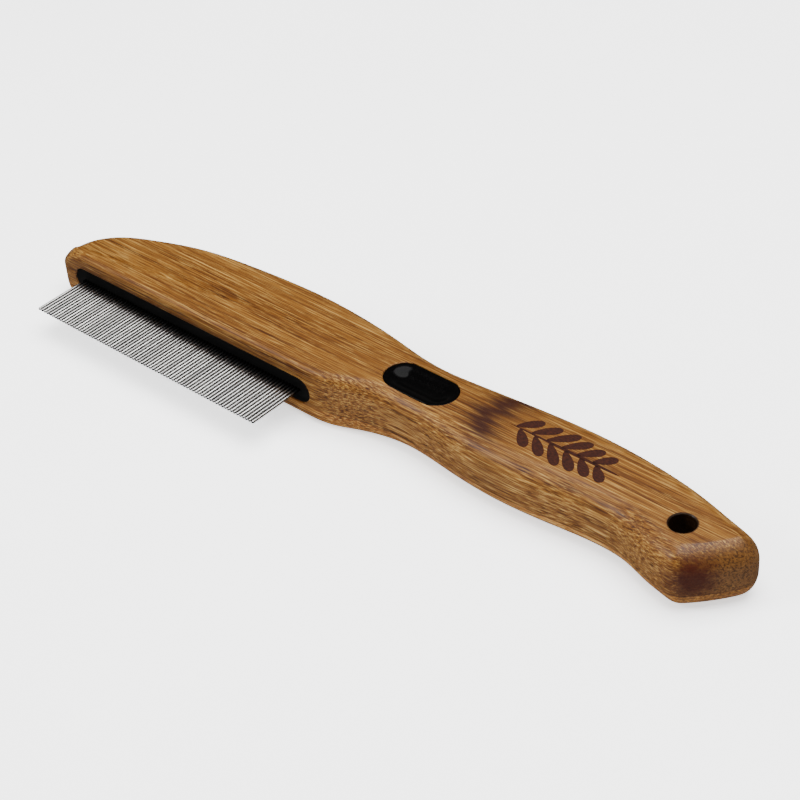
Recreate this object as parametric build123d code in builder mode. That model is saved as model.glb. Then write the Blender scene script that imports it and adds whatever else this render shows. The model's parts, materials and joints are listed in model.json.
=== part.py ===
from build123d import *
import math
import os

# Bamboo grooming comb, in millimetres. The board lies flat: +X runs from the nose of the head to the
# butt of the grip, +Y from the pins to the back, +Z up. The origin is under the middle of the comb.

# ---- driving dimensions ----
board_thickness = 16.0
lower_ply = 5.0  # the glue line lies this far above the underside
edge_round = 3.4  # rounding of the board's long edges
hole_chamfer = 0.4

pin_count = 77
pin_pitch = 1.05
pin_radius = 0.4
pin_reach = 16.6  # length of pin outside the bar
pin_tip_y = -21.75
pin_first_x = -97.3
pin_plane_z = board_thickness / 2
collar_radius = 0.48  # flat collar on the pin's inner end
collar_length = 0.5
turning_gap = 0.03  # radial clearance round each pin
end_gap = 0.05  # end play of the pins against the cap

slot_length = 87.2
slot_height = 7.2
slot_depth = 9.0
bar_recess = 0.3  # bar's face sits this far inside the head's edge
bar_depth = 6.2
cap_groove = collar_length + 2 * end_gap  # room for the collars between bar and cap

pad_length = 21.4
pad_width = 10.5
pad_depth = 3.0
pad_recess = 0.6
pad_dish = 0.7
pad_x = 12.5
pad_y = 7.2

hole_radius = 3.2
hole_x = 91.2
hole_y = 3.9

# ---- derived places ----
bar_face_y = pin_tip_y + pin_reach
slot_face_y = bar_face_y - bar_recess
slot_back_y = slot_face_y + slot_depth
slot_mid_x = pin_first_x + pin_pitch * (pin_count - 1) / 2
slot_end_x = slot_mid_x + slot_length / 2
bar_back_y = bar_face_y + bar_depth
top_z = board_thickness
block_length = 260.0  # cutting blocks, larger than the board
block_width = 80.0
block_spare = 1.0

# ---- outline of the board, seen from above ----
nose_corner = (-109.0, slot_face_y)
back_edge = [
    (-107.9, -0.3),
    (-102.2, 6.3),
    (-89.5, 12.9),
    (-76.3, 17.6),
    (-56.3, 20.6),
    (-29.3, 21.6),
    (-2.3, 18.9),
    (8.7, 17.9),
    (22.7, 18.5),
    (44.7, 20.2),
    (61.7, 20.5),
    (75.7, 19.3),
    (89.7, 16.7),
    (99.7, 13.8),
    (111.1, 11.6),
]
butt_middle = (104.5, 1.1)
front_edge = [
    (96.0, -7.7),
    (88.2, -5.5),
    (79.7, -2.8),
    (71.7, -2.0),
    (59.7, -2.9),
    (43.7, -3.9),
    (27.7, -2.8),
    (12.7, -1.3),
    (-1.3, -3.1),
]
front_meets_slot = (slot_end_x, slot_face_y)
rounded_corners = [(nose_corner, 3.9), (back_edge[-1], 5.2), (front_edge[0], 4.2)]


def slab(low_z, high_z):
    """A block over the whole plan between two heights, to cut a ply from the board."""
    with BuildPart() as block:
        with Locations((0, 0, low_z)):
            Box(block_length, block_width, high_z - low_z, align=(Align.CENTER, Align.CENTER, Align.MIN))
    return block.part


# ---- board: outline, rounded edges, slot, pad pocket and hanging hole ----
with BuildPart() as board:
    with BuildSketch() as outline:
        with BuildLine():
            Line(front_meets_slot, nose_corner)
            Spline([nose_corner] + back_edge)
            ThreePointArc(back_edge[-1], butt_middle, front_edge[0])
            Spline(front_edge + [front_meets_slot], tangents=[(-1.0, 0.6), (-1, 0)])
        make_face()
        for corner, radius in rounded_corners:
            fillet(outline.vertices().sort_by_distance(corner)[0], radius)
    extrude(amount=board_thickness)
    rims = board.faces().filter_by(Axis.Z).edges()
    fillet(rims, edge_round)
    with BuildSketch(Plane.XZ.offset(-slot_face_y)):
        with Locations((slot_mid_x, pin_plane_z)):
            SlotOverall(slot_length, slot_height)
    extrude(amount=-slot_depth, mode=Mode.SUBTRACT)
    with BuildSketch(Plane.XY.offset(top_z - pad_depth)):
        with Locations((pad_x, pad_y)):
            SlotOverall(pad_length, pad_width)
    extrude(amount=pad_depth, mode=Mode.SUBTRACT)
    with Locations((hole_x, hole_y, top_z / 2)):
        Hole(hole_radius)
    rings = board.edges().filter_by(GeomType.CIRCLE)
    hole_rims = [edge for edge in rings if math.isclose(edge.radius, hole_radius, abs_tol=0.01)]
    chamfer(hole_rims, hole_chamfer)

# ---- two bamboo plies, glued together ----
with BuildPart() as upper_ply_part:
    add(board.part)
    add(slab(lower_ply, board_thickness + block_spare), mode=Mode.INTERSECT)

with BuildPart() as lower_ply_part:
    add(board.part)
    add(slab(-block_spare, lower_ply), mode=Mode.INTERSECT)

# ---- black bar in the slot, with one socket for each pin ----
pin_xs = [pin_first_x + pin_pitch * number for number in range(pin_count)]

with BuildPart() as pin_carrier:
    with BuildSketch(Plane.XZ.offset(-bar_face_y)):
        with Locations((slot_mid_x, pin_plane_z)):
            SlotOverall(slot_length, slot_height)
    extrude(amount=-bar_depth)
    with BuildSketch(Plane.XZ.offset(-bar_face_y)):
        with Locations([(x, pin_plane_z) for x in pin_xs]):
            Circle(pin_radius + turning_gap)
    extrude(amount=-bar_depth, mode=Mode.SUBTRACT)
    with BuildSketch(Plane.XZ.offset(-bar_back_y)):
        with Locations((sum(pin_xs) / pin_count, pin_plane_z)):
            SlotOverall(
                pin_xs[-1] - pin_xs[0] + 2 * (collar_radius + turning_gap),
                2 * (collar_radius + turning_gap),
            )
    extrude(amount=cap_groove, mode=Mode.SUBTRACT)
pin_carrier.part.label = "pin_carrier"

# ---- strip behind the bar, which keeps the collars in ----
with BuildPart() as carrier_cap:
    with BuildSketch(Plane.XZ.offset(-bar_back_y)):
        with Locations((slot_mid_x, pin_plane_z)):
            SlotOverall(slot_length, slot_height)
    extrude(amount=-(slot_back_y - bar_back_y))
carrier_cap.part.label = "carrier_cap"

# ---- dished pad for the thumb ----
with BuildPart() as thumb_pad:
    with BuildSketch(Plane.XY.offset(top_z - pad_depth)):
        with Locations((pad_x, pad_y)):
            SlotOverall(pad_length, pad_width)
    extrude(amount=pad_depth - pad_recess)
    dish_radius = (pad_width**2 / 4 + pad_dish**2) / (2 * pad_dish)
    dish_axis_z = top_z - pad_recess - pad_dish + dish_radius
    with Locations((pad_x, pad_y, dish_axis_z)):
        Cylinder(dish_radius, pad_length + 2 * block_spare, rotation=(0, 90, 0), mode=Mode.SUBTRACT)
thumb_pad.part.label = "thumb_pad"


# ---- steel pins: a round pin with a domed tip and a flat collar, free to turn in its socket ----
def pin(x):
    """One pin along Y with its tip at pin_tip_y, as a revolved profile."""
    collar_y = bar_back_y - collar_length
    tip_y = pin_tip_y
    dome_y = tip_y + pin_radius
    dome_mid = (x + pin_radius * math.sin(math.pi / 4), dome_y - pin_radius * math.cos(math.pi / 4))
    with BuildPart() as body:
        with BuildSketch(Plane.XY.offset(pin_plane_z)):
            with BuildLine():
                ThreePointArc((x, tip_y), dome_mid, (x + pin_radius, dome_y))
                Polyline(
                    (x + pin_radius, dome_y),
                    (x + pin_radius, collar_y),
                    (x + collar_radius, collar_y),
                    (x + collar_radius, bar_back_y - end_gap),
                    (x, bar_back_y - end_gap),
                    (x, tip_y),
                )
            make_face()
        revolve(axis=Axis((x, 0, pin_plane_z), (0, 1, 0)))
    return body.part


# ---- the two plies and the small parts are written out ----
upper_ply_part.part.label = "upper_ply"
lower_ply_part.part.label = "lower_ply"

os.makedirs("parts", exist_ok=True)
export_step(upper_ply_part.part, "parts/upper_ply.step")
export_step(lower_ply_part.part, "parts/lower_ply.step")
export_step(pin_carrier.part, "parts/pin_carrier.step")
export_step(carrier_cap.part, "parts/carrier_cap.step")
export_step(thumb_pad.part, "parts/thumb_pad.step")

# odd pins are nodes of their own; the pins between them share one node
between = []
for number, x in enumerate(pin_xs, start=1):
    one_pin = pin(x)
    if number % 2:
        one_pin.label = f"pin_{number:02d}"
        export_step(one_pin, f"parts/pin_{number:02d}.step")
    else:
        between.append(one_pin)
pins_between = Compound(label="pins_between", children=between)
export_step(pins_between, "parts/pins_between.step")
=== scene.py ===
import json
import math

import bmesh
import bpy
import numpy as np
from mathutils import Matrix, Vector


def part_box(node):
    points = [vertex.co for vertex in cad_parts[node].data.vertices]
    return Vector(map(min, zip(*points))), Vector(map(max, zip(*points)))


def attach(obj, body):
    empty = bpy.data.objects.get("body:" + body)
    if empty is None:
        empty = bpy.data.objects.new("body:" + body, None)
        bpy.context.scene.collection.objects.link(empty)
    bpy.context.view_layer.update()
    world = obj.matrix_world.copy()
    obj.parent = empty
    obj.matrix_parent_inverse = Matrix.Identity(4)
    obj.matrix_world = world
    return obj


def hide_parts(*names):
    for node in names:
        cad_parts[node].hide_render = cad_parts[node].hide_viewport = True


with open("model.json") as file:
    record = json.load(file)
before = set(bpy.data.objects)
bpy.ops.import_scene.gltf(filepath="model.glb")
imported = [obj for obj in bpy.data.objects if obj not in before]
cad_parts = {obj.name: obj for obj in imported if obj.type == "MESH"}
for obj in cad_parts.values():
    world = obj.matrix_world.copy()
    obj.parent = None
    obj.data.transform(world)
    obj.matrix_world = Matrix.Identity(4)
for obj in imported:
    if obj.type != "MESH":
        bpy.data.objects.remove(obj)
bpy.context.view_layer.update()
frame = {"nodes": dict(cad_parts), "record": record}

# The looks of the bamboo comb, in metres, in the row frame: +X to the butt, +Y to the back, +Z up.
MM = 0.001
BOARD = "board"

# ---- places taken from the frame ----
low_ply, high_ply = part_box("lower_ply"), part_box("upper_ply")
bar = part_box("pin_carrier")
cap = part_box("carrier_cap")
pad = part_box("thumb_pad")
top_z = high_ply[1].z
glue_z = high_ply[0].z
slot_mid_x = (bar[0].x + bar[1].x) / 2
hole = next(m for m in frame["record"]["mounts"] if m["name"] == "hanging_hole")
hole_x, hole_y = hole["pos_m"][:2]
hole_r = hole["dims"]["r_mm"] * MM
slot_end_x = bar[1].x


# ---- small helpers for shapes ----
def step(value, low, high):
    """A smooth 0 to 1 step between two values."""
    t = np.clip((value - low) / (high - low), 0, 1)
    return t * t * (3 - 2 * t)


def blur_loop(values, spread):
    """Values round a closed loop, averaged over a spread given in samples."""
    reach = int(3 * spread)
    weights = np.exp(-0.5 * (np.arange(-reach, reach + 1) / spread) ** 2)
    weights /= weights.sum()
    wrapped = np.concatenate([values[-reach:], values, values[:reach]])
    return np.convolve(wrapped, weights, "valid")


def mesh_object(name, verts, faces):
    """A mesh object from points and faces, with its normals made consistent."""
    mesh = bpy.data.meshes.new(name)
    mesh.from_pydata([tuple(v) for v in verts], [], faces)
    bm = bmesh.new()
    bm.from_mesh(mesh)
    bmesh.ops.recalc_face_normals(bm, faces=bm.faces)
    bm.to_mesh(mesh)
    bm.free()
    shape = bpy.data.objects.new(name, mesh)
    bpy.context.scene.collection.objects.link(shape)
    return shape


def closed_rings(name, rings):
    """A closed solid through rings of points, each with the same count, capped at both ends."""
    count = len(rings[0])
    verts = [p for ring in rings for p in ring]
    faces = []
    for r in range(len(rings) - 1):
        for k in range(count):
            n = (k + 1) % count
            faces.append([r * count + k, r * count + n, (r + 1) * count + n, (r + 1) * count + k])
    faces.append(list(range(count)))
    faces.append(list(range((len(rings) - 1) * count, len(rings) * count)))
    return mesh_object(name, verts, faces)


def cut(shape, tool, how="DIFFERENCE"):
    """shape with tool taken away (or kept), as a new mesh; the tool is removed."""
    modifier = shape.modifiers.new("cut", "BOOLEAN")
    modifier.operation = how
    modifier.object = tool
    modifier.solver = "EXACT"
    graph = bpy.context.evaluated_depsgraph_get()
    mesh = bpy.data.meshes.new_from_object(shape.evaluated_get(graph))
    shape.modifiers.clear()
    shape.data = mesh
    bpy.data.objects.remove(tool)
    return shape


def smooth_by_angle(shape, degrees):
    """Smooth shading, with sharp edges where faces meet at more than an angle."""
    bm = bmesh.new()
    bm.from_mesh(shape.data)
    for face in bm.faces:
        face.smooth = True
    for edge in bm.edges:
        if len(edge.link_faces) == 2:
            edge.smooth = edge.calc_face_angle(0) < math.radians(degrees)
    bm.to_mesh(shape.data)
    bm.free()


def stadium(length, width, points=16):
    """A slot shape round the origin: points along X and Y, anticlockwise."""
    r = width / 2
    half = length / 2 - r
    turn = np.linspace(-math.pi / 2, math.pi / 2, points)
    right = np.stack([half + r * np.cos(turn), r * np.sin(turn)], 1)
    return np.concatenate([right, -right])


def circle(radius, points=96):
    """A circle round the origin."""
    turn = np.linspace(0, 2 * math.pi, points, endpoint=False)
    return np.stack([radius * np.cos(turn), radius * np.sin(turn)], 1)


# ---- the board: outline from the frame, with edges rounded as on the real comb ----
OUTLINE_POINTS = 1100
OUTLINE_LIFT = 1.4 * MM  # above the lower ply's middle, its wall stands upright
OUTLINE_BLUR = 1.3 * MM
ROUNDING_BLUR = 2.5 * MM
TOP_RINGS = 12
WALL_RINGS = 5
HEAD_ROUNDING, GRIP_EXTRA, FRONT_LESS = 3.0, 2.4, 0.9  # in millimetres, as are the next two
NOSE_EXTRA, BUTT_LESS = 3.4, 0.6
BUTT_CREASE = math.radians(30)
PLAN_SHARE = 0.8  # the rounding reaches this far towards the middle of a plan corner
LOW_DOWN, LOW_IN = 0.42, 0.36  # largest lower rounding, as shares of the thickness
NOSE_DROOP = 0.1
NOSE_DROOP_FROM, NOSE_DROOP_LENGTH = 90.0, 18.0
NOSE_TIP = (-108.5, -3.5)
NOSE_TIP_DROP, NOSE_TIP_REACH = 0.34, 5.5


def frame_outline():
    """The board's plan outline, cut from the lower ply's upright wall, as evenly spaced points."""
    bm = bmesh.new()
    bm.from_mesh(frame["nodes"]["lower_ply"].data)
    bmesh.ops.remove_doubles(bm, verts=bm.verts, dist=1e-6)
    level = (low_ply[0].z + low_ply[1].z) / 2 + OUTLINE_LIFT
    found = bmesh.ops.bisect_plane(
        bm,
        geom=bm.verts[:] + bm.edges[:] + bm.faces[:],
        plane_co=(0, 0, level),
        plane_no=(0, 0, 1),
    )
    edges = [g for g in found["geom_cut"] if isinstance(g, bmesh.types.BMEdge)]
    links = {}
    for edge in edges:
        a, b = edge.verts
        links.setdefault(a, []).append(b)
        links.setdefault(b, []).append(a)
    start = min(links, key=lambda v: v.co.x)
    loop, last, here = [start], None, start
    while True:
        onward = [v for v in links[here] if v is not last]
        last, here = here, onward[0]
        if here is start:
            break
        loop.append(here)
    points = np.array([[v.co.x, v.co.y] for v in loop])
    bm.free()
    closed = np.concatenate([points, points[:1]])
    run = np.concatenate([[0], np.cumsum(np.linalg.norm(np.diff(closed, axis=0), axis=1))])
    at = np.linspace(0, run[-1], OUTLINE_POINTS, endpoint=False)
    even = np.stack([np.interp(at, run, closed[:, k]) for k in (0, 1)], 1)
    spread = OUTLINE_BLUR / (run[-1] / OUTLINE_POINTS)
    even = np.stack([blur_loop(even[:, k], spread) for k in (0, 1)], 1)
    area = np.sum(even[:, 0] * np.roll(even[:, 1], -1) - np.roll(even[:, 0], -1) * even[:, 1])
    return even if area > 0 else even[::-1]


def edge_rounding(points, normals, radius):
    """How far the rounding reaches inwards and down at each outline point, and where its arc starts."""
    x, nx, ny = points[:, 0] / MM, normals[:, 0], normals[:, 1]
    front = step(-ny, -0.2, 0.5)
    grip = step(x, slot_end_x / MM, slot_end_x / MM + 30)
    inward = HEAD_ROUNDING + GRIP_EXTRA * grip - FRONT_LESS * front * (1 - grip)
    nose = step(-nx, 0.35, 0.85) * step(-x, 86, 100)
    butt = step(nx, 0.35, 0.8) * step(x, 80, 95)
    inward = inward + NOSE_EXTRA * nose - BUTT_LESS * butt
    down = inward * (1.15 + 0.2 * nose + 0.25 * butt)
    start = BUTT_CREASE * butt
    samples = ROUNDING_BLUR / np.linalg.norm(points[1] - points[0])
    inward = np.minimum(blur_loop(inward, samples), PLAN_SHARE * radius / MM)
    inward = blur_loop(inward, samples / 2)
    return inward * MM, blur_loop(down, samples) * MM, blur_loop(start, samples)


def board_shape():
    """The whole board before it is cut into plies."""
    points = frame_outline()
    along = np.roll(points, -1, 0) - np.roll(points, 1, 0)
    along /= np.linalg.norm(along, axis=1)[:, None]
    normals = np.stack([along[:, 1], -along[:, 0]], 1)
    spacing = np.linalg.norm(points[1] - points[0])
    bend = np.cross(along, np.roll(along, -4, 0) - np.roll(along, 4, 0)) / (8 * spacing)
    radius = 1 / np.maximum(blur_loop(bend, 6), 1e-3)
    inward, down, start = edge_rounding(points, normals, radius)
    rings = []
    for k in range(TOP_RINGS + 1):
        turn = start + (math.pi / 2 - start) * k / TOP_RINGS
        inset = inward * (1 - np.sin(turn)) / (1 - np.sin(start))
        height = top_z - down * (1 - np.cos(turn) / np.cos(start))
        rings.append(np.column_stack([points - normals * inset[:, None], height]))
    low = np.minimum(down, LOW_DOWN * top_z)
    low_in = np.minimum(inward, LOW_IN * top_z)
    upper = rings[-1][:, 2]
    for k in range(1, WALL_RINGS):
        height = upper + (low - upper) * k / WALL_RINGS
        rings.append(np.column_stack([points, height]))
    for k in range(TOP_RINGS + 1):
        turn = math.pi / 2 * (1 - k / TOP_RINGS)
        inset = low_in * (1 - math.sin(turn))
        height = low * (1 - math.cos(turn))
        rings.append(np.column_stack([points - normals * inset[:, None], height]))
    for ring in rings:
        nose = np.maximum(-ring[:, 0] / MM - NOSE_DROOP_FROM, 0) / NOSE_DROOP_LENGTH
        above = np.maximum(ring[:, 2] - top_z / 2, 0)
        from_tip = np.hypot(ring[:, 0] / MM - NOSE_TIP[0], ring[:, 1] / MM - NOSE_TIP[1])
        tip = np.exp(-((from_tip / NOSE_TIP_REACH) ** 2))
        ring[:, 2] -= (NOSE_DROOP * nose**2 + NOSE_TIP_DROP * tip) * above
    return closed_rings("board_blank", rings)


BAR_RECESS = 0.3 * MM
PAD_RIM_EASE = 0.12 * MM
HOLE_RIM_EASE = 0.25 * MM


def slot_tool():
    """The slot for the pin bar, with its mouth's edge eased."""
    length, height = bar[1].x - bar[0].x, bar[1].z - bar[0].z
    mid_z = (bar[0].z + bar[1].z) / 2
    face = bar[0].y - BAR_RECESS
    depths = [(face - 3 * MM, 3.0), (face, 0.28), (face + 0.12 * MM, 0.1), (face + 0.3 * MM, 0.0)]
    depths.append((cap[1].y, 0.0))
    rings = []
    for y, ease in depths:
        flat = stadium(length + 2 * ease * MM, height + 2 * ease * MM, 24)
        rings.append(np.column_stack([flat[:, 0] + slot_mid_x, np.full(len(flat), y), flat[:, 1] + mid_z]))
    return closed_rings("slot_tool", rings)


def well_tool(name, shape, x, y, floor_z, top_ease):
    """A straight-walled well from the top face down to floor_z, with its rim eased. shape gives a ring."""
    heights = [(floor_z, 0.0), (top_z - top_ease, 0.0), (top_z - 0.3 * top_ease, 0.3 * top_ease)]
    heights += [(top_z, top_ease), (top_z + 2 * MM, top_ease + 2 * MM)]
    rings = []
    for z, ease in heights:
        flat = shape(ease)
        rings.append(np.column_stack([flat[:, 0] + x, flat[:, 1] + y, np.full(len(flat), z)]))
    return closed_rings(name, rings)


def hole_tool():
    """The hanging hole, eased at both faces."""
    ease = HOLE_RIM_EASE
    heights = [(-1 * MM, ease + 1 * MM), (0, ease), (ease, 0), (top_z - ease, 0), (top_z, ease)]
    heights.append((top_z + 1 * MM, ease + 1 * MM))
    rings = []
    for z, wider in heights:
        flat = circle(hole_r + wider)
        rings.append(np.column_stack([flat[:, 0] + hole_x, flat[:, 1] + hole_y, np.full(len(flat), z)]))
    return closed_rings("hole_tool", rings)


def ply_box(low_z, high_z):
    """A block to keep one ply of the board."""
    flat = np.array([[-1, -1], [1, -1], [1, 1], [-1, 1]]) * 0.3
    rings = [np.column_stack([flat, np.full(4, z)]) for z in (low_z, high_z)]
    return closed_rings("ply_box", rings)


def duplicate(shape, name):
    """A separate copy of an object and its mesh."""
    twin = bpy.data.objects.new(name, shape.data.copy())
    bpy.context.scene.collection.objects.link(twin)
    return twin


def build_board():
    """The two bamboo plies, each its own piece."""
    board = board_shape()
    board = cut(board, slot_tool())
    pad_length, pad_width = pad[1].x - pad[0].x, pad[1].y - pad[0].y
    pad_mid = ((pad[0].x + pad[1].x) / 2, (pad[0].y + pad[1].y) / 2)

    def pad_ring(ease):
        return stadium(pad_length + 2 * ease, pad_width + 2 * ease, 28)

    board = cut(board, well_tool("pad_tool", pad_ring, *pad_mid, pad[0].z, PAD_RIM_EASE))
    board = cut(board, hole_tool())
    plies = []
    for name, node, low, high in (
        ("upper_ply_look", "upper_ply", glue_z, 2 * top_z),
        ("lower_ply_look", "lower_ply", -top_z, glue_z),
    ):
        ply = cut(duplicate(board, name), ply_box(low, high), "INTERSECT")
        ply.name = name
        smooth_by_angle(ply, 22)
        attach(ply, BOARD)
        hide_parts(node)
        plies.append(ply)
    bpy.data.objects.remove(board)
    return plies


PAD_RIM_DEPTH = 0.12 * MM
PAD_ROLL = 0.3 * MM
PAD_DISH = 1.3 * MM
PAD_GAP = 0.03 * MM


def build_pad():
    """The thumb pad: a soft black insert with a rolled rim and a dished face."""
    length, width = pad[1].x - pad[0].x, pad[1].y - pad[0].y
    mid_x, mid_y = (pad[0].x + pad[1].x) / 2, (pad[0].y + pad[1].y) / 2
    rim_z = top_z - PAD_RIM_DEPTH
    roll, dish, gap = PAD_ROLL, PAD_DISH, PAD_GAP
    profile = [(gap, pad[0].z), (gap, rim_z - roll)]
    for k in range(1, 7):
        turn = math.pi / 2 * k / 6
        profile.append((gap + roll * (1 - math.cos(turn)), rim_z - roll * (1 - math.sin(turn))))
    inner = width / 2 - 0.15 * MM
    for k in range(1, 22):
        t = k / 21
        inset = gap + roll + (inner - gap - roll) * t
        profile.append((inset, rim_z - dish * (0.5 - 0.5 * math.cos(math.pi * t))))
    rings = []
    for inset, z in profile:
        flat = stadium(length - 2 * inset, width - 2 * inset, 28)
        rings.append(np.column_stack([flat[:, 0] + mid_x, flat[:, 1] + mid_y, np.full(len(flat), z)]))
    shape = closed_rings("thumb_pad_look", rings)
    smooth_by_angle(shape, 50)
    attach(shape, BOARD)
    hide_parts("thumb_pad")
    return shape


# ---- materials ----
class Graph:
    """A short way to write a node material."""

    def __init__(self, name):
        self.material = bpy.data.materials.new(name)
        self.material.use_nodes = True
        self.tree = self.material.node_tree
        self.shader = self.tree.nodes["Principled BSDF"]
        coords = self.tree.nodes.new("ShaderNodeTexCoord")
        scale = self.tree.nodes.new("ShaderNodeVectorMath")
        scale.operation = "SCALE"
        scale.inputs["Scale"].default_value = 1 / MM
        self.tree.links.new(coords.outputs["Object"], scale.inputs[0])
        self.place = scale.outputs[0]

    def link(self, source, target):
        if isinstance(source, (int, float)):
            target.default_value = source
        else:
            self.tree.links.new(source, target)

    def math(self, operation, a, b=0.0, c=0.0):
        node = self.tree.nodes.new("ShaderNodeMath")
        node.operation = operation
        for socket, value in zip(node.inputs, (a, b, c)):
            self.link(value, socket)
        return node.outputs[0]

    def split(self, vector):
        node = self.tree.nodes.new("ShaderNodeSeparateXYZ")
        self.tree.links.new(vector, node.inputs[0])
        return node.outputs

    def join(self, x, y, z):
        node = self.tree.nodes.new("ShaderNodeCombineXYZ")
        for socket, value in zip(node.inputs, (x, y, z)):
            self.link(value, socket)
        return node.outputs[0]

    def noise(self, vector, stretch=(1, 1, 1), detail=3.0, rough=0.5, shift=0.0):
        """Smooth noise of millimetre coordinates; stretch is cycles per millimetre along each axis."""
        x, y, z = self.split(vector)
        placed = self.join(
            self.math("MULTIPLY_ADD", x, stretch[0], shift),
            self.math("MULTIPLY_ADD", y, stretch[1], shift),
            self.math("MULTIPLY", z, stretch[2]),
        )
        node = self.tree.nodes.new("ShaderNodeTexNoise")
        node.inputs["Scale"].default_value = 1.0
        node.inputs["Detail"].default_value = detail
        node.inputs["Roughness"].default_value = rough
        self.tree.links.new(placed, node.inputs["Vector"])
        return node.outputs["Fac"]

    def ramp(self, value, *stops):
        """Colours or greys along a value; each stop is (place, colour)."""
        node = self.tree.nodes.new("ShaderNodeValToRGB")
        elements = node.color_ramp.elements
        while len(elements) < len(stops):
            elements.new(0.5)
        for element, (at, colour) in zip(elements, stops):
            element.position = at
            grey = isinstance(colour, (int, float))
            element.color = (colour,) * 3 + (1,) if grey else srgb(*colour)
        self.tree.links.new(value, node.inputs[0])
        return node.outputs[0]

    def mix(self, share, a, b, how="MIX"):
        node = self.tree.nodes.new("ShaderNodeMix")
        node.data_type = "RGBA"
        node.blend_type = how
        self.link(share, node.inputs[0])
        for socket, value in ((node.inputs[6], a), (node.inputs[7], b)):
            if isinstance(value, tuple):
                socket.default_value = srgb(*value)
            else:
                self.tree.links.new(value, socket)
        return node.outputs[2]

    def bump(self, height, strength, distance):
        node = self.tree.nodes.new("ShaderNodeBump")
        node.inputs["Strength"].default_value = strength
        node.inputs["Distance"].default_value = distance
        self.tree.links.new(height, node.inputs["Height"])
        self.tree.links.new(node.outputs[0], self.shader.inputs["Normal"])

    def set(self, name, value):
        self.link(value, self.shader.inputs[name])


def srgb(r, g, b):
    """A linear colour with alpha from 0 to 255 display values."""
    parts = [v / 255 for v in (r, g, b)]
    linear = [v / 12.92 if v <= 0.04045 else ((v + 0.055) / 1.055) ** 2.4 for v in parts]
    return (*linear, 1)


def paint(shape, material):
    """Gives an object one material."""
    shape.data.materials.clear()
    shape.data.materials.append(material)


NODE_RING = (33.0, 8.5, 0.05)  # x and y of its middle, and how it bends
NODE_RING_WIDTH = 5.2
KNOT_PLACE = (99.8, -4.5, 10.0)


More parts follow.
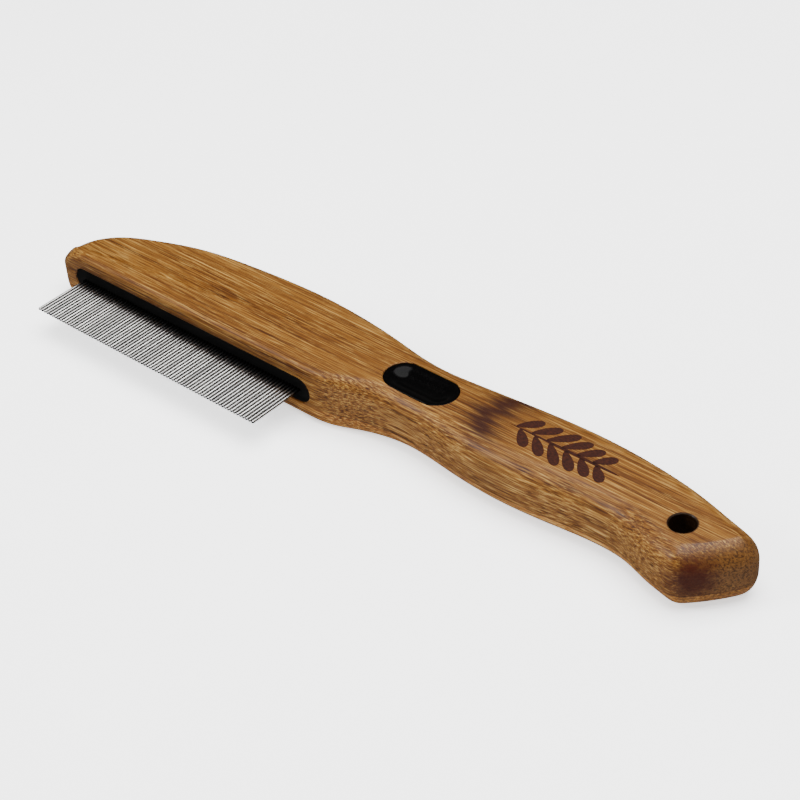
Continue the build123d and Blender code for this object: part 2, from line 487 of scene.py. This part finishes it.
def bamboo(name, tint, seed, knot, end_grain):
    """Lacquered bamboo: long fibres, dashes, a dark node ring, a knot on the butt and dotted end grain.

    tint multiplies the colour, knot is how dark the knot is, and end_grain how far end grain darkens.
    """
    g = Graph(name)
    x, y, z = g.split(g.place)
    sway = g.noise(g.place, (0.01, 0.04, 0.04), 2, 0.5, seed)
    grain = g.join(x, g.math("MULTIPLY_ADD", sway, 1.8, y), z)
    broad = g.noise(grain, (0.008, 0.25, 0.25), 2, 0.5, seed + 3)
    fibre = g.noise(grain, (0.022, 3.0, 3.0), 5, 0.62, seed + 7)
    dash = g.noise(grain, (0.13, 3.8, 3.8), 3, 0.55, seed + 11)
    speck = g.noise(grain, (0.5, 2.3, 2.3), 2, 0.6, seed + 17)
    blend = g.math("MULTIPLY_ADD", broad, 0.2, g.math("MULTIPLY", fibre, 0.8))
    base = g.ramp(
        blend,
        (0.38, (66, 30, 8)),
        (0.46, (112, 64, 20)),
        (0.52, (138, 86, 32)),
        (0.58, (166, 112, 52)),
        (0.66, (214, 164, 96)),
    )
    light_dash = g.ramp(dash, (0.56, 0.0), (0.68, 1.0))
    base = g.mix(g.math("MULTIPLY", light_dash, 0.55), base, (222, 172, 104))
    dark_dash = g.ramp(dash, (0.32, 1.0), (0.43, 0.0))
    base = g.mix(g.math("MULTIPLY", dark_dash, 0.6), base, (62, 28, 8))
    # the ring where the bamboo's node crosses the grip, ragged along the fibres
    ragged = g.noise(grain, (0.03, 0.9, 0.9), 4, 0.65, seed + 23)
    bend = g.math("POWER", g.math("SUBTRACT", y, NODE_RING[1]), 2.0)
    off = g.math("SUBTRACT", x, g.math("MULTIPLY_ADD", bend, NODE_RING[2], NODE_RING[0]))
    off = g.math("ADD", off, g.math("MULTIPLY_ADD", ragged, 14.0, -7.0))
    ring = g.math("POWER", g.math("DIVIDE", off, NODE_RING_WIDTH), 2.0)
    ring = g.math("POWER", math.e, g.math("MULTIPLY", ring, -1.0))
    ring = g.math("MULTIPLY", ring, g.ramp(g.math("MULTIPLY_ADD", y, 0.1, 0.5), (0.38, 0.1), (0.66, 0.95)))
    base = g.mix(ring, base, (52, 15, 5))
    # end grain is darker and dotted
    facing = g.tree.nodes.new("ShaderNodeNewGeometry")
    facing_x = g.math("ABSOLUTE", g.split(facing.outputs["True Normal"])[0])
    end = g.ramp(facing_x, (0.35, 0.0), (0.6, 1.0))
    base = g.mix(g.math("MULTIPLY", end, end_grain), base, (116, 73, 35))
    dots = g.ramp(speck, (0.5, 0.0), (0.6, 1.0))
    base = g.mix(g.math("MULTIPLY", g.math("MULTIPLY", end, dots), 0.7), base, (46, 22, 8))
    # a dark knot on the butt's corner
    apart = g.tree.nodes.new("ShaderNodeVectorMath")
    apart.operation = "DISTANCE"
    g.tree.links.new(g.place, apart.inputs[0])
    apart.inputs[1].default_value = KNOT_PLACE
    near = g.math("ADD", apart.outputs["Value"], g.math("MULTIPLY_ADD", ragged, 8.0, -4.0))
    stain = g.ramp(g.math("DIVIDE", near, 10.0), (0.25, knot), (0.75, 0.0))
    base = g.mix(stain, base, (74, 22, 8))
    # painted shade on the hole's wall and rim, standing for the dark shade inside the hole
    across_x = g.math("POWER", g.math("SUBTRACT", x, hole_x / MM), 2.0)
    across_y = g.math("POWER", g.math("SUBTRACT", y, hole_y / MM), 2.0)
    from_hole = g.math("SQRT", g.math("ADD", across_x, across_y))
    painted_hole_shade = g.ramp(g.math("DIVIDE", from_hole, 2 * hole_r / MM), (0.53, 1.0), (0.58, 0.0))
    base = g.mix(g.math("MULTIPLY", painted_hole_shade, 0.92), base, (26, 10, 4))
    # the glue line between the plies
    seam = g.math("ABSOLUTE", g.math("SUBTRACT", z, glue_z / MM))
    seam = g.ramp(g.math("DIVIDE", seam, 0.5), (0.1, 1.0), (0.5, 0.0))
    base = g.mix(g.math("MULTIPLY", seam, 0.7), base, (58, 26, 9))
    g.set("Base Color", g.mix(1.0, base, tint, "MULTIPLY"))
    g.set("Roughness", g.math("MULTIPLY_ADD", fibre, 0.3, 0.3))
    g.set("Specular IOR Level", 0.15)
    g.set("Coat Weight", 0.03)
    g.set("Coat Roughness", 0.2)
    g.bump(g.math("MULTIPLY_ADD", dash, 0.5, fibre), 0.4, 0.12 * MM)
    return g.material


def black_bar():
    """Satin black moulded plastic with a fine grain and faint rubbed marks."""
    g = Graph("black_bar_look")
    grit = g.noise(g.place, (6, 6, 6), 2, 0.6)
    rub = g.noise(g.place, (0.12, 0.6, 0.8), 3, 0.6, 4)
    g.set("Base Color", g.ramp(rub, (0.3, (3, 3, 3)), (0.75, (10, 9, 9))))
    g.set("Roughness", g.math("MULTIPLY_ADD", grit, 0.2, 0.5))
    g.set("Specular IOR Level", 0.08)
    g.bump(grit, 0.2, 0.03 * MM)
    return g.material


def soft_pad():
    """Glossy black gel with a little dust and waviness."""
    g = Graph("thumb_pad_gloss")
    wave = g.noise(g.place, (0.25, 0.25, 0.25), 2, 0.5, 2)
    dust = g.noise(g.place, (3, 3, 3), 2, 0.6, 9)
    g.set("Base Color", g.ramp(dust, (0.45, (2, 2, 2)), (0.8, (7, 6, 6))))
    g.set("Roughness", g.math("MULTIPLY_ADD", dust, 0.1, 0.12))
    g.set("Specular IOR Level", 0.03)
    g.bump(wave, 0.15, 0.4 * MM)
    return g.material


# how far from the bar, in millimetres, the painted shade at the pins' roots fades out
ROOT_SHADE = 6.5


def steel():
    """Drawn steel, with painted shade at the roots standing for the black bar's shade and dark reflection,
    fine lines along the pins and slight changes from pin to pin.
    """
    g = Graph("pin_steel")
    drawn = g.noise(g.place, (9, 0.25, 9), 3, 0.6)
    each = g.noise(g.place, (0.95, 0.01, 0.01), 0, 0.5, 5)
    bright = g.ramp(each, (0.3, (122, 121, 120)), (0.7, (168, 167, 165)))
    # painted shade: the pins darken towards the bar, standing for the bar's shade and dark reflection on
    # them
    painted_root_shade = g.math("DIVIDE", g.math("SUBTRACT", bar[0].y / MM, g.split(g.place)[1]), ROOT_SHADE)
    g.set("Base Color", g.mix(g.ramp(painted_root_shade, (0.0, 0.0), (1.0, 1.0)), (22, 21, 21), bright))
    g.set("Metallic", 1.0)
    g.set("Roughness", g.math("MULTIPLY_ADD", drawn, 0.16, 0.12))
    g.bump(drawn, 0.1, 0.02 * MM)
    return g.material


def burn():
    """Scorched brown of the burned mark."""
    g = Graph("burn_look")
    char = g.noise(g.place, (1.2, 3.0, 3.0), 3, 0.6)
    g.set("Base Color", g.ramp(char, (0.35, (24, 7, 3)), (0.7, (50, 20, 9))))
    g.set("Roughness", 0.7)
    g.set("Specular IOR Level", 0.1)
    return g.material


def floor_paint():
    """Plain pale paper."""
    g = Graph("floor_paper")
    tint = g.noise(g.place, (0.01, 0.01, 0.01), 2, 0.5)
    g.set("Base Color", g.ramp(tint, (0.3, (246, 246, 246)), (0.7, (250, 250, 250))))
    g.set("Roughness", 0.9)
    g.set("Emission Strength", 1.2)
    g.shader.inputs["Emission Color"].default_value = (1, 1, 1, 1)
    return g.material


# ---- a plain burned leaf mark where the grip carries one ----
def build_mark():
    """A sprig of burned leaves, as thin flat shapes on the top face."""
    start_x, end_x, mid_y = 39 * MM, 71 * MM, 8.2 * MM
    verts, faces = [], []

    def leaf(x, y, length, width, angle):
        first = len(verts)
        for k in range(24):
            t = 2 * math.pi * k / 24
            u = (0.5 - 0.5 * math.cos(t)) * length
            v = 0.5 * width * math.sin(t) * (1 - 0.35 * math.cos(t))
            px = x + u * math.cos(angle) - v * math.sin(angle)
            py = y + u * math.sin(angle) + v * math.cos(angle)
            verts.append((px, py, top_z + 0.02 * MM))
        faces.append(list(range(first, first + 24)))

    leaf(start_x, mid_y, end_x - start_x, 0.9 * MM, 0)
    for k in range(6):
        x = start_x + (2 + 4.4 * k) * MM
        size = (8.2 - 0.7 * abs(k - 2)) * MM
        leaf(x, mid_y + 0.2 * MM, size, 2.6 * MM, math.radians(44))
        leaf(x + 1.4 * MM, mid_y - 0.2 * MM, size, 2.6 * MM, math.radians(-44))
    shape = mesh_object("burned_mark", verts, faces)
    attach(shape, BOARD)
    return shape


# ---- put it together ----
upper, lower = build_board()
paint(upper, bamboo("bamboo_upper", (174, 178, 162), 0.0, 0.9, 0.8))
paint(lower, bamboo("bamboo_lower", (200, 202, 184), 31.0, 0.0, 0.45))
paint(build_pad(), soft_pad())
paint(build_mark(), burn())
bar_black, pin_steel = black_bar(), steel()
for node, shape in frame["nodes"].items():
    if node.startswith("pin") and node != "pin_carrier":
        paint(shape, pin_steel)
    elif node in ("pin_carrier", "carrier_cap"):
        paint(shape, bar_black)


# ---- floor, light and camera ----
def area_light(name, place, size, power):
    """A soft rectangular light at a place, turned to the origin."""
    data = bpy.data.lights.new(name, "AREA")
    data.shape = "RECTANGLE"
    data.size, data.size_y = size
    data.energy = power
    lamp = bpy.data.objects.new(name, data)
    lamp.location = place
    lamp.rotation_mode = "QUATERNION"
    lamp.rotation_quaternion = (-Vector(place)).to_track_quat("-Z", "Y")
    bpy.context.scene.collection.objects.link(lamp)


floor = mesh_object("floor", [(-3, -3, 0), (3, -3, 0), (3, 3, 0), (-3, 3, 0)], [[0, 1, 2, 3]])
paint(floor, floor_paint())
floor.visible_glossy = False

world = bpy.data.worlds.new("studio")
world.use_nodes = True
world.node_tree.nodes["Background"].inputs["Color"].default_value = (1, 1, 1, 1)
world.node_tree.nodes["Background"].inputs["Strength"].default_value = 0.16
bpy.context.scene.world = world

area_light("key", (-0.45, -0.55, 0.55), (0.22, 0.3), 6.0)
area_light("top", (0.1, 0.1, 0.9), (0.9, 0.9), 30.0)
area_light("side", (0.7, 0.3, 0.4), (0.2, 0.3), 0.4)

AZIMUTH, ELEVATION, ROLL = math.radians(44.59), math.radians(37.65), math.radians(-4.68)
CAMERA_PLACE = Vector((281.6, -273.45, 311.5)) * MM
FOCAL_LENGTH, SENSOR = 91.61, 36.0

backward = Vector(
    (
        math.sin(AZIMUTH) * math.cos(ELEVATION),
        -math.cos(AZIMUTH) * math.cos(ELEVATION),
        math.sin(ELEVATION),
    )
)
level_right = Vector((0, 0, 1)).cross(backward).normalized()
level_up = backward.cross(level_right)
right = math.cos(ROLL) * level_right + math.sin(ROLL) * level_up
up = math.cos(ROLL) * level_up - math.sin(ROLL) * level_right
camera_data = bpy.data.cameras.new("camera")
camera_data.lens = FOCAL_LENGTH
camera_data.sensor_width = SENSOR
camera_data.clip_start = 0.01
camera = bpy.data.objects.new("camera", camera_data)
camera.matrix_world = Matrix.Translation(CAMERA_PLACE) @ Matrix((right, up, backward)).transposed().to_4x4()
bpy.context.scene.collection.objects.link(camera)
bpy.context.scene.camera = camera
